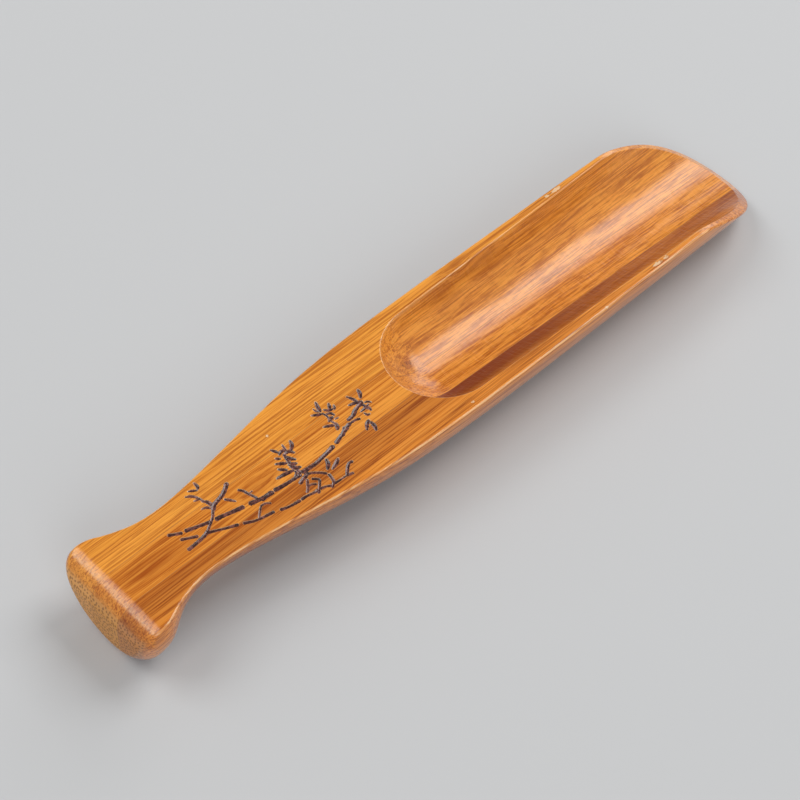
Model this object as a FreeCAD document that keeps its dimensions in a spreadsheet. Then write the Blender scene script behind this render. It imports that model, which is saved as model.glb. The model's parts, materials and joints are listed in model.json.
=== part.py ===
import FreeCAD, Part
import math
import os
import Sketcher

# Tea scoop, shaped from a billet of bamboo strips glued edge to edge.
#
# The scoop lies on its round back with the flat face up. +X points from the
# knob at the butt to the open lip, +Y to the left of somebody who holds the
# knob, +Z up. The origin is below the middle of the scoop, on the table.
# All lengths are millimetres.
#
# The outside is a turned form: round sections whose radius and whose drop
# below the flat face are set at a few rings along the length. The flat face
# and the raked lip are one saw cut, the bowl is a gouge cut, and the edges
# are rounded after that. The shaped form is then divided at the glue lines,
# so each strip and each film of glue is a solid of its own.

SIZES = [
    ("overall_length", 180.0, "butt end to the lip"),
    ("overall_height", 16.5, "table to the flat face"),
    ("knob_end_radius", 13.4, "ring at the butt end"),
    ("knob_gap", 6.0, "butt end to the fullest ring of the knob"),
    ("knob_radius", 14.1, "fullest ring of the knob"),
    ("knob_drop", 3.5, "knob rings' centres below the flat face"),
    ("heel_gap", 3.5, "fullest ring to the heel ring"),
    ("heel_radius", 12.0, "heel ring, where the knob turns in"),
    ("throat_gap", 2.5, "heel ring to the throat ring"),
    ("throat_radius", 10.7, "throat ring, between heel and neck"),
    ("throat_drop", 0.7, "throat ring's centre below the flat face"),
    ("neck_gap", 6.0, "throat ring to the neck ring"),
    ("neck_radius", 8.85, "neck ring, the slimmest"),
    ("grip_gap", 10.0, "neck ring to the grip ring"),
    ("grip_radius", 9.3, "grip ring"),
    ("swell_gap", 18.0, "grip ring to the swell ring"),
    ("swell_radius", 12.4, "swell ring, half way up the handle"),
    ("shoulder_gap", 18.0, "swell ring to the shoulder ring"),
    ("shoulder_radius", 15.35, "shoulder ring, before the bowl"),
    ("bowl_gap", 22.0, "shoulder ring to the bowl ring"),
    ("bowl_ring_radius", 16.2, "bowl ring, where the bowl begins"),
    ("belly_reach", 60.0, "lip back to the belly ring, middle of the bowl"),
    ("belly_radius", 16.1, "belly ring"),
    ("belly_drop", 0.5, "bowl and belly rings' centres below the flat face"),
    ("lip_radius", 15.3, "ring at the lip"),
    ("lip_height", 0.3, "underside of the lip above the table"),
    ("lip_trim", 0.69, "how far the sharp lip stands out before it is eased"),
    ("rake_reach", 28.0, "lip back to where the flat face begins to turn down"),
    ("rake_corner_radius", 15.0, "turn from the flat face into the rake"),
    ("rake_radius", 66.0, "long curve of the raked lip"),
    ("bowl_run", 89.3, "lip back to the centre of the bowl's round start"),
    ("bowl_start_half", 12.76, "half the bowl's width in the flat face, at the round start"),
    ("bowl_start_floor", 7.2, "floor above the table at the round start"),
    ("bowl_lip_half", 14.83, "half the bowl's width in the flat face's plane, at the lip"),
    ("bowl_lip_floor", 3.0, "floor above the table at the lip"),
    ("middle_width", 8.4, "middle strip, glue line to glue line"),
    ("middle_shift", 0.5, "middle strip's centre, to the right of the scoop's"),
    ("glue_film", 0.1, "thickness of a dried film of glue"),
    ("butt_round", 4.0, "rounding from the end grain to the back of the knob"),
    ("butt_top_round", 5.5, "rounding from the end grain to the flat face"),
    ("side_round", 0.5, "rounding along both sides of the flat face and round the lip"),
    ("rim_round", 0.25, "eased edge of the bowl"),
    ("cut_overrun", 2.0, "how far a cut runs past the wood"),
    ("touch", 0.01, "how near a face has to be to count as lying in a plane"),
]

# Rings from the butt to the bowl's back: the gap from the ring before, the
# radius, and the drop of the centre below the flat face. The belly and lip
# rings are set from the lip.
RINGS = [
    ("0", "knob_end_radius", "knob_drop"),
    ("knob_gap", "knob_radius", "knob_drop"),
    ("heel_gap", "heel_radius", "knob_drop"),
    ("throat_gap", "throat_radius", "throat_drop"),
    ("neck_gap", "neck_radius", "0"),
    ("grip_gap", "grip_radius", "0"),
    ("swell_gap", "swell_radius", "0"),
    ("shoulder_gap", "shoulder_radius", "0"),
    ("bowl_gap", "bowl_ring_radius", "belly_drop"),
]

Vec = FreeCAD.Vector

doc = FreeCAD.newDocument("TeaScoop")


def make_sheet():
    """The driving sizes: name, number and what it is, one size a row."""
    sheet = doc.addObject("Spreadsheet::Sheet", "Sizes")
    for row, (name, number, meaning) in enumerate(SIZES, start=1):
        sheet.set("A%d" % row, name)
        sheet.set("B%d" % row, str(number))
        sheet.set("C%d" % row, meaning)
        sheet.setAlias("B%d" % row, name)
    doc.recompute()
    return sheet


sheet = make_sheet()


def size(name):
    """A driving size as a number, read from the sheet."""
    if name == "0":
        return 0.0
    return float(sheet.get(name))


butt = -size("overall_length") / 2
lip = size("overall_length") / 2
face = size("overall_height")


def ring_table():
    """The rings as (x, z of the centre, radius), butt first, lip last."""
    rings = []
    x = butt
    for gap, radius, drop in RINGS:
        x += size(gap)
        rings.append((x, face - size(drop), size(radius)))
    rings.append((lip - size("belly_reach"), face - size("belly_drop"), size("belly_radius")))
    rings.append((lip + size("cut_overrun"), size("lip_height") + size("lip_radius"), size("lip_radius")))
    return rings


def ring_point(ring, degrees, reach):
    """A point of a ring at an angle from +Y, at a share of its radius."""
    x, z, radius = ring
    angle = math.radians(degrees)
    return Vec(x, reach * radius * math.cos(angle), z + reach * radius * math.sin(angle))


def turned_shape(rings):
    """A solid whose every section is a full circle, smooth from ring to ring.

    Three patches of 120 degrees go round, with their seams along the keel
    and above the flat face. Lengthwise each patch is a cubic spline that has
    the rings as its control rings, so it never swings past them.
    """
    starts = (-90, 30, 150)
    faces = []
    for start in starts:
        poles = [[ring_point(ring, start, 1), ring_point(ring, start + 60, 2), ring_point(ring, start + 120, 1)]
                 for ring in rings]
        weights = [[1, 1 / 2, 1] for ring in rings]
        spans = len(rings) - 3
        knots = [span / spans for span in range(spans + 1)]
        counts = [4] + [1] * (spans - 1) + [4]
        surface = Part.BSplineSurface()
        surface.buildFromPolesMultsKnots(poles, counts, [3, 3], knots, [0, 1], False, False, 3, 2, weights)
        faces.append(surface.toShape())
    for ring in (rings[0], rings[-1]):
        arcs = [Part.Arc(ring_point(ring, start, 1), ring_point(ring, start + 60, 1), ring_point(ring, start + 120, 1))
                for start in starts]
        faces.append(Part.Face(Part.Wire([arc.toShape() for arc in arcs])))
    shell = Part.makeShell(faces)
    shell.sewShape()
    solid = Part.Solid(shell)
    if solid.Volume < 0:
        solid.reverse()
    return solid


turned = doc.addObject("Part::Feature", "turned_form")
turned.Shape = turned_shape(ring_table())

# The body that the cuts are made in.
form = doc.addObject("PartDesign::Body", "cut_form")
form.BaseFeature = turned
doc.recompute()


def side_sketch(name):
    """A sketch on the body's upright plane along the scoop: X and Z."""
    plane = [entry for entry in form.Origin.OriginFeatures if entry.Role == "XZ_Plane"][0]
    sketch = form.newObject("Sketcher::SketchObject", name)
    sketch.AttachmentSupport = [(plane, "")]
    sketch.MapMode = "FlatFace"
    return sketch


def drive(sketch, name, kind, refs, expression):
    """A dimension of a sketch, bound to an expression of the sizes."""
    number = float(sketch.evalExpression(expression))
    index = sketch.addConstraint(Sketcher.Constraint(kind, *refs, number))
    sketch.renameConstraint(index, name)
    sketch.setExpression("Constraints." + name, expression)


def at(sketch, name, geometry, point, along, up):
    """Places a point of the sketch by its distances from the origin."""
    drive(sketch, name + "_along", "DistanceX", (-1, 1, geometry, point), along)
    drive(sketch, name + "_up", "DistanceY", (-1, 1, geometry, point), up)


def line(sketch, start, end):
    """Adds a straight line between two (along, up) points."""
    return sketch.addGeometry(Part.LineSegment(Vec(*start, 0), Vec(*end, 0)))


def join(sketch, *pairs):
    """Makes pairs of (geometry, point) meet."""
    for first, second in pairs:
        sketch.addConstraint(Sketcher.Constraint("Coincident", *first, *second))


def level(sketch, *lines):
    """Makes lines level."""
    for index in lines:
        sketch.addConstraint(Sketcher.Constraint("Horizontal", index))


def upright(sketch, *lines):
    """Makes lines upright."""
    for index in lines:
        sketch.addConstraint(Sketcher.Constraint("Vertical", index))


def circle_arc(sketch, centre, radius, start, end):
    """Adds an arc that runs counter-clockwise between two (along, up) points."""
    low = math.atan2(start[1] - centre[1], start[0] - centre[0])
    high = math.atan2(end[1] - centre[1], end[0] - centre[0])
    if high < low:
        high += 2 * math.pi
    circle = Part.Circle(Vec(*centre, 0), Vec(0, 0, 1), radius)
    return sketch.addGeometry(Part.ArcOfCircle(circle, low, high))


def inner_centre(centre, radius, point, big_radius):
    """The centre of a bigger circle through a point that holds a small circle
    inside it, touching. Of the two, the lower one is taken."""
    across = point[0] - centre[0]
    rise = point[1] - centre[1]
    apart = math.hypot(across, rise)
    near = big_radius - radius
    along = (near * near - big_radius * big_radius + apart * apart) / (2 * apart)
    off = math.sqrt(near * near - along * along)
    foot = (centre[0] + along * across / apart, centre[1] + along * rise / apart)
    sides = [(foot[0] - side * off * rise / apart, foot[1] + side * off * across / apart) for side in (1, -1)]
    return min(sides, key=lambda spot: spot[1])


def face_sketch():
    """The waste above the flat face and in front of the raked lip."""
    sketch = side_sketch("face_and_rake_waste")
    corner_radius = size("rake_corner_radius")
    long_radius = size("rake_radius")
    over = size("cut_overrun")
    back = butt - over
    front = lip + face
    top = face + 2 * size("belly_radius")
    turn = (lip - size("rake_reach"), face)
    corner = (turn[0], face - corner_radius)
    tip = (lip + size("lip_trim"), size("lip_height"))
    long_centre = inner_centre(corner, corner_radius, tip, long_radius)
    reach = math.hypot(corner[0] - long_centre[0], corner[1] - long_centre[1])
    meet = tuple(corner[i] + corner_radius * (corner[i] - long_centre[i]) / reach for i in (0, 1))
    under = (long_centre[0] + math.sqrt(long_radius ** 2 - (over + long_centre[1]) ** 2), -over)

    flat = line(sketch, (back, face), turn)
    bend = circle_arc(sketch, corner, corner_radius, meet, turn)
    rake = circle_arc(sketch, long_centre, long_radius, under, meet)
    foot = line(sketch, under, (front, -over))
    wall = line(sketch, (front, -over), (front, top))
    lid = line(sketch, (front, top), (back, top))
    end = line(sketch, (back, top), (back, face))
    mark = sketch.addGeometry(Part.Point(Vec(*tip, 0)), True)

    sketch.addConstraint(Sketcher.Constraint("Tangent", flat, 2, bend, 2))
    sketch.addConstraint(Sketcher.Constraint("Tangent", bend, 1, rake, 2))
    join(sketch, ((rake, 1), (foot, 1)), ((foot, 2), (wall, 1)), ((wall, 2), (lid, 1)),
         ((lid, 2), (end, 1)), ((end, 2), (flat, 1)))
    level(sketch, flat, foot, lid)
    upright(sketch, wall, end)
    at(sketch, "start", flat, 1, "-Sizes.overall_length / 2 - Sizes.cut_overrun", "Sizes.overall_height")
    drive(sketch, "turn_along", "DistanceX", (-1, 1, flat, 2), "Sizes.overall_length / 2 - Sizes.rake_reach")
    drive(sketch, "corner_radius", "Radius", (bend,), "Sizes.rake_corner_radius")
    drive(sketch, "long_radius", "Radius", (rake,), "Sizes.rake_radius")
    at(sketch, "tip", mark, 1, "Sizes.overall_length / 2 + Sizes.lip_trim", "Sizes.lip_height")
    sketch.addConstraint(Sketcher.Constraint("PointOnObject", mark, 1, rake))
    drive(sketch, "under_up", "DistanceY", (-1, 1, rake, 1), "-Sizes.cut_overrun")
    drive(sketch, "front_along", "DistanceX", (-1, 1, foot, 2), "Sizes.overall_length / 2 + Sizes.overall_height")
    drive(sketch, "top_up", "DistanceY", (-1, 1, wall, 2), "Sizes.overall_height + 2 * Sizes.belly_radius")
    return sketch


def gouge_radius(end):
    """Radius of the gouge's cut at one end of the bowl, as an expression: the
    circle through both rims and the floor."""
    depth = f"(Sizes.overall_height - Sizes.bowl_{end}_floor)"
    return f"(Sizes.bowl_{end}_half ^ 2 / {depth} + {depth}) / 2"


def bowl_sketch():
    """Half of the gouge's cut: a ball end that widens evenly to the lip."""
    sketch = side_sketch("bowl_gouge")
    small = float(sketch.evalExpression(gouge_radius("start")))
    large = float(sketch.evalExpression(gouge_radius("lip")))
    first = (lip - size("bowl_run"), size("bowl_start_floor") + small)
    last = (lip + size("cut_overrun"), size("bowl_lip_floor") + large)
    run = math.hypot(last[0] - first[0], last[1] - first[1])
    ahead = ((last[0] - first[0]) / run, (last[1] - first[1]) / run)
    down = (ahead[1], -ahead[0])
    lean = (small - large) / run
    out = tuple(lean * ahead[i] + math.sqrt(1 - lean * lean) * down[i] for i in (0, 1))
    pole = tuple(first[i] - small * ahead[i] for i in (0, 1))
    floor_start = tuple(first[i] + small * out[i] for i in (0, 1))
    floor_end = tuple(last[i] + large * out[i] for i in (0, 1))

    ball = circle_arc(sketch, first, small, pole, floor_start)
    floor = line(sketch, floor_start, floor_end)
    face_end = line(sketch, floor_end, last)
    axis = line(sketch, last, pole)

    sketch.addConstraint(Sketcher.Constraint("Tangent", ball, 2, floor, 1))
    join(sketch, ((floor, 2), (face_end, 1)), ((face_end, 2), (axis, 1)), ((axis, 2), (ball, 1)))
    sketch.addConstraint(Sketcher.Constraint("PointOnObject", ball, 3, axis))
    sketch.addConstraint(Sketcher.Constraint("Perpendicular", floor, face_end))
    at(sketch, "ball", ball, 3, "Sizes.overall_length / 2 - Sizes.bowl_run",
       "Sizes.bowl_start_floor + " + gouge_radius("start"))
    at(sketch, "last", face_end, 2, "Sizes.overall_length / 2 + Sizes.cut_overrun",
       "Sizes.bowl_lip_floor + " + gouge_radius("lip"))
    drive(sketch, "small_radius", "Radius", (ball,), gouge_radius("start"))
    drive(sketch, "large_radius", "Distance", (face_end,), gouge_radius("lip"))
    return sketch


def side_cut(name, sketch):
    """A saw cut right through the body, square to its side."""
    cut = form.newObject("PartDesign::Pocket", name)
    cut.Profile = sketch
    cut.Type = "ThroughAll"
    cut.Midplane = True
    doc.recompute()
    return cut


side_cut("flat_face_and_rake", face_sketch())


def gouge_cut(name, sketch):
    """The gouge's cut, a full turn about the sketch's last line."""
    cut = form.newObject("PartDesign::Groove", name)
    cut.Profile = sketch
    cut.ReferenceAxis = (sketch, ["Edge4"])
    cut.Angle = 360
    doc.recompute()
    return cut


gouge_cut("bowl", bowl_sketch())


def is_face_up(side):
    """True for the flat face."""
    return isinstance(side.Surface, Part.Plane) and side.BoundBox.ZMin > face - size("touch")


def is_end_grain(side):
    """True for the flat butt end."""
    return isinstance(side.Surface, Part.Plane) and side.BoundBox.XMax < butt + size("touch")


def is_sawn(side):
    """True for the flat face and the rake."""
    return is_face_up(side) or isinstance(side.Surface, Part.Cylinder)


def is_turned(side):
    """True for the round outside."""
    return isinstance(side.Surface, Part.BSplineSurface)


def is_gouged(side):
    """True for the inside of the bowl."""
    return isinstance(side.Surface, (Part.Sphere, Part.Cone))


def edges_between(shape, first, second):
    """Numbers of the edges where a face of the first kind meets one of the second."""
    numbers = []
    for number, edge in enumerate(shape.Edges, start=1):
        sides = shape.ancestorsOfType(edge, Part.Face)
        if len(sides) == 2 and any(first(a) and second(b) for a, b in (sides, sides[::-1])):
            numbers.append(number)
    return numbers


def rounded(name, base, edges):
    """Rounds edges of a shape, given as (number, radius)."""
    rounding = doc.addObject("Part::Fillet", name)
    rounding.Base = base
    rounding.Edges = [(number, radius, radius) for number, radius in edges]
    doc.recompute()
    return rounding


def outside_edges(shape):
    """The edges of the butt end, the flat face and the rake, with their roundings."""
    edges = [(number, size("butt_round")) for number in edges_between(shape, is_end_grain, is_turned)]
    edges += [(number, size("butt_top_round")) for number in edges_between(shape, is_end_grain, is_face_up)]
    edges += [(number, size("side_round")) for number in edges_between(shape, is_sawn, is_turned)]
    return edges


def rim_edges(shape):
    """The edges of the bowl, all with one rounding."""
    return [(number, size("rim_round")) for number in edges_between(shape, is_sawn, is_gouged)]


outside = rounded("outside_rounded", form, outside_edges(form.Shape))
shaped = rounded("rim_eased", outside, rim_edges(outside.Shape))


def block(name, sizes):
    """A box: its three sides and its lowest corner, as expressions of the sizes."""
    box = doc.addObject("Part::Box", name)
    for field, expression in sizes.items():
        box.setExpression(field, expression)
    return box


# The sole is sanded flat where knob and belly touch the table.
waste = block("sole_waste", {
    "Length": "Sizes.overall_length + 2 * Sizes.cut_overrun",
    "Width": "4 * Sizes.belly_radius",
    "Height": "Sizes.overall_height",
    "Placement.Base.x": "-Sizes.overall_length / 2 - Sizes.cut_overrun",
    "Placement.Base.y": "-2 * Sizes.belly_radius",
    "Placement.Base.z": "-Sizes.overall_height",
})
scoop = doc.addObject("Part::Cut", "whole_scoop")
scoop.Base = shaped
scoop.Tool = waste
doc.recompute()

# The glue lines stand upright and run the whole length. The strips and the
# films of glue lie side by side, and only meet face to face.
FILM = "Sizes.glue_film"
HALF = "Sizes.middle_width / 2"
OUTER = "2 * Sizes.belly_radius"
SLICES = [
    ("strip_left", f"{HALF} + {FILM} / 2", OUTER),
    ("glue_line_left", f"{HALF} - {FILM} / 2", FILM),
    ("strip_middle", f"-{HALF} + {FILM} / 2", f"Sizes.middle_width - {FILM}"),
    ("glue_line_right", f"-{HALF} - {FILM} / 2", FILM),
    ("strip_right", f"-{HALF} - {FILM} / 2 - {OUTER}", OUTER),
]


def sliced(name, right_side, width):
    """One strip or film: what of the scoop lies between two upright planes."""
    room = block(name + "_room", {
        "Length": "Sizes.overall_length + 2 * Sizes.cut_overrun",
        "Width": width,
        "Height": "Sizes.overall_height + Sizes.cut_overrun",
        "Placement.Base.x": "-Sizes.overall_length / 2 - Sizes.cut_overrun",
        "Placement.Base.y": f"{right_side} - Sizes.middle_shift",
    })
    piece = doc.addObject("Part::Common", name)
    piece.Base = scoop
    piece.Tool = room
    piece.Label = name
    return piece


pieces = [sliced(*row) for row in SLICES]
doc.recompute()


# How far the pieces' volumes may be from the whole's, as a share of it.
VOLUME_SHARE = 0.0001


def check(objects, pieces):
    """Stops if an object failed, or a piece isn't one sound solid."""
    for item in objects:
        if "Invalid" in item.State or "Error" in item.State:
            raise RuntimeError("%s failed: %s" % (item.Label, item.State))
    for piece in pieces:
        shape = piece.Shape
        if shape.isNull() or not shape.isValid() or len(shape.Solids) != 1:
            raise RuntimeError("%s is not one sound solid" % piece.Label)
        print("%-16s %9.1f mm3" % (piece.Label, shape.Volume))
    total = sum(piece.Shape.Volume for piece in pieces)
    whole = scoop.Shape.Volume
    print("whole scoop      %9.1f mm3, its pieces %9.1f mm3" % (whole, total))
    if abs(total - whole) > whole * VOLUME_SHARE:
        raise RuntimeError("the pieces don't add up to the scoop")


check(doc.Objects, pieces)

os.makedirs("parts", exist_ok=True)
for piece in pieces:
    piece.Shape.exportStep("parts/%s.step" % piece.Label)
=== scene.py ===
import json
import logging
import math
from dataclasses import dataclass
from enum import Enum

import bpy
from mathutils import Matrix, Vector

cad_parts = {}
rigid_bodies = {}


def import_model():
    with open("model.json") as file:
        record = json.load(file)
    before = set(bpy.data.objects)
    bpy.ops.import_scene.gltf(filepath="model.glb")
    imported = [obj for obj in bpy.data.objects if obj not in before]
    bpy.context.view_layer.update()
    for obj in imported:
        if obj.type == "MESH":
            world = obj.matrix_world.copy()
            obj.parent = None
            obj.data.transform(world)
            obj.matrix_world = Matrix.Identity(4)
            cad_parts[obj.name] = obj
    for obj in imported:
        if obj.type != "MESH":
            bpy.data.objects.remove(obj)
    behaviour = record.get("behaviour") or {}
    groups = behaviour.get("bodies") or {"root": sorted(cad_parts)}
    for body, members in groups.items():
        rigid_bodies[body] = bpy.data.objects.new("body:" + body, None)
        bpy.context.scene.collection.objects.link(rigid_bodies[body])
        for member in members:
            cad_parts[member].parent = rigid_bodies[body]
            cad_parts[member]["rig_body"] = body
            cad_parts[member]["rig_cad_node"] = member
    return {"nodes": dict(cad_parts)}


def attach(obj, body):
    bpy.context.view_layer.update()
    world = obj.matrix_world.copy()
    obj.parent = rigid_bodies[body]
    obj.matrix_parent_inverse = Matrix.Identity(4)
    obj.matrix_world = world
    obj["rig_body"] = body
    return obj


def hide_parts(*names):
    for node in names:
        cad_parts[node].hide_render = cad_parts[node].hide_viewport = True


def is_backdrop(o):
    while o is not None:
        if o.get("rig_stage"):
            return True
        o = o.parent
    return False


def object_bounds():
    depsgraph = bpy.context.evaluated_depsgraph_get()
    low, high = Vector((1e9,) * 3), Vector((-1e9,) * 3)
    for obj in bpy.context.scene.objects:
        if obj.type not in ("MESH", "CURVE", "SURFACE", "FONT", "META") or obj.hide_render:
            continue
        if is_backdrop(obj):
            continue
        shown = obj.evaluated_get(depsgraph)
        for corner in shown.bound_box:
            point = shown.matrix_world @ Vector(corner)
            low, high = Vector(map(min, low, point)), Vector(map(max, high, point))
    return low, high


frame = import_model()

log = logging.getLogger("tea_scoop")

Socket = bpy.types.NodeSocket
Tree = bpy.types.NodeTree

# The grooves are cut at this many times the real size, because the solver is finer there.
ENLARGED = 1000.0


def mm(length: float) -> float:
    """Turns millimetres into metres."""
    return length / 1000.0


def linear(colour: str) -> tuple[float, float, float, float]:
    """Turns an sRGB hex colour into linear light.

    Args:
        colour: Six hex digits, such as "C98A3C".

    Returns:
        Red, green, blue and an alpha of 1.
    """
    parts = [int(colour[i:i + 2], 16) / 255 for i in (0, 2, 4)]
    red, green, blue = [
        part / 12.92 if part <= 0.04045 else ((part + 0.055) / 1.055) ** 2.4
        for part in parts
    ]
    return red, green, blue, 1.0


def add_node(tree: Tree, kind: str, settings: dict | None = None, inputs: dict | None = None) -> bpy.types.Node:
    """Adds a node to a material with its settings and its links.

    Args:
        tree: The node tree that gets the node.
        kind: The node's type name.
        settings: Attributes of the node and their values.
        inputs: Input names or numbers, each with a value or an output socket.

    Returns:
        The new node.
    """
    node = tree.nodes.new(kind)
    for name, value in (settings or {}).items():
        setattr(node, name, value)
    for name, value in (inputs or {}).items():
        if isinstance(value, Socket):
            tree.links.new(value, node.inputs[name])
        else:
            node.inputs[name].default_value = value
    return node


def maths(tree: Tree, operation: str, *values: object) -> Socket:
    """Adds one step of arithmetic.

    Args:
        tree: The node tree.
        operation: The Math node's operation.
        values: Its inputs, numbers or sockets.

    Returns:
        The result's socket.
    """
    return add_node(tree, "ShaderNodeMath", {"operation": operation}, dict(enumerate(values))).outputs[0]


def product(tree: Tree, first: object, *others: object) -> Socket:
    """Multiplies two or more values.

    Args:
        tree: The node tree.
        first: A number or a socket.
        others: More of them.

    Returns:
        The product's socket.
    """
    for other in others:
        first = maths(tree, "MULTIPLY", first, other)
    return first


@dataclass(frozen=True)
class Fade:
    """A smooth change from one value to another while an input passes a range.

    low, high: The inputs at which the change begins and ends.
    start, end: The values before and after it.
    """

    low: float
    high: float
    start: float = 0.0
    end: float = 1.0

    def over(self, tree: Tree, value: object) -> Socket:
        """Adds the change as a node.

        Args:
            tree: The node tree.
            value: The input's socket.

        Returns:
            The result's socket.
        """
        node = add_node(tree, "ShaderNodeMapRange", {"interpolation_type": "SMOOTHSTEP"}, {
            "Value": value, "From Min": self.low, "From Max": self.high, "To Min": self.start, "To Max": self.end})
        return node.outputs["Result"]


def blend(tree: Tree, share: object, first: object, second: object) -> Socket:
    """Blends two colours.

    Args:
        tree: The node tree.
        share: How much of the second colour there is.
        first: The first colour or its socket.
        second: The second colour or its socket.

    Returns:
        The blended colour's socket.
    """
    node = tree.nodes.new("ShaderNodeMix")
    node.data_type = "RGBA"
    sockets = {"Factor_Float": share, "A_Color": first, "B_Color": second}
    for socket in node.inputs:
        if socket.identifier in sockets:
            value = sockets[socket.identifier]
            if isinstance(value, Socket):
                tree.links.new(value, socket)
            else:
                socket.default_value = value
    return next(socket for socket in node.outputs if socket.identifier == "Result_Color")


def new_material(name: str) -> tuple[bpy.types.Material, Tree]:
    """Makes an empty node material.

    Args:
        name: What the real material is called.

    Returns:
        The material and its cleared node tree.
    """
    material = bpy.data.materials.new(name)
    material.use_nodes = True
    material.node_tree.nodes.clear()
    return material, material.node_tree


@dataclass(frozen=True)
class GrainEye:
    """A place where the fibres part and close again, in millimetres.

    x, y: The middle of the eye.
    length, width: How far it reaches along and across the grain.
    push: How far it moves the fibres aside.
    shade: How dark it is, from 0 to 1.
    """

    x: float
    y: float
    length: float
    width: float
    push: float
    shade: float = 0.6


@dataclass(frozen=True)
class Tear:
    """A place in the bowl where the gouge has torn the fibres, in millimetres.

    x, y: The middle of the tear.
    length, width: How far it reaches along and across the grain.
    shade: How dark it is, from 0 to 1.
    """

    x: float
    y: float
    length: float
    width: float
    shade: float


@dataclass(frozen=True)
class Chip:
    """A place where an edge is chipped or bruised, in millimetres.

    x, y, z: The middle of the chip.
    length, width: How far it reaches along the scoop and across it.
    """

    x: float
    y: float
    z: float
    length: float
    width: float


@dataclass(frozen=True)
class Streak:
    """The measures of noise that is drawn out along the fibres.

    gap: Distance from streak to streak in millimetres.
    length: How long a streak runs in millimetres.
    detail: The noise's detail.
    """

    gap: float
    length: float
    detail: float = 2.0


@dataclass(frozen=True)
class Spot:
    """A point of the strip's surface, as sockets.

    along, across, up: Its x, y and z.
    grain: The place in the grain, which wanders a little.
    from_right: Its place across the strip, 0 at the right side and 1 at the left.
    facing_up: How much the surface looks up.
    endwise: How much the surface looks out of the butt.
    in_bowl: 1 in the bowl and 0 elsewhere.
    """

    along: Socket
    across: Socket
    up: Socket
    grain: Socket
    from_right: Socket
    facing_up: Socket
    endwise: Socket
    in_bowl: Socket


@dataclass(frozen=True)
class GrainNoise:
    """Noise that several features of the strip share, as sockets.

    lines, fine, dashes: Long lines, single fibres and short broken lines.
    broad, blotch: Broad changes of tone and clouds.
    specks: Uneven specks, which aren't drawn out.
    """

    lines: Socket
    fine: Socket
    dashes: Socket
    broad: Socket
    blotch: Socket
    specks: Socket


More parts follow.
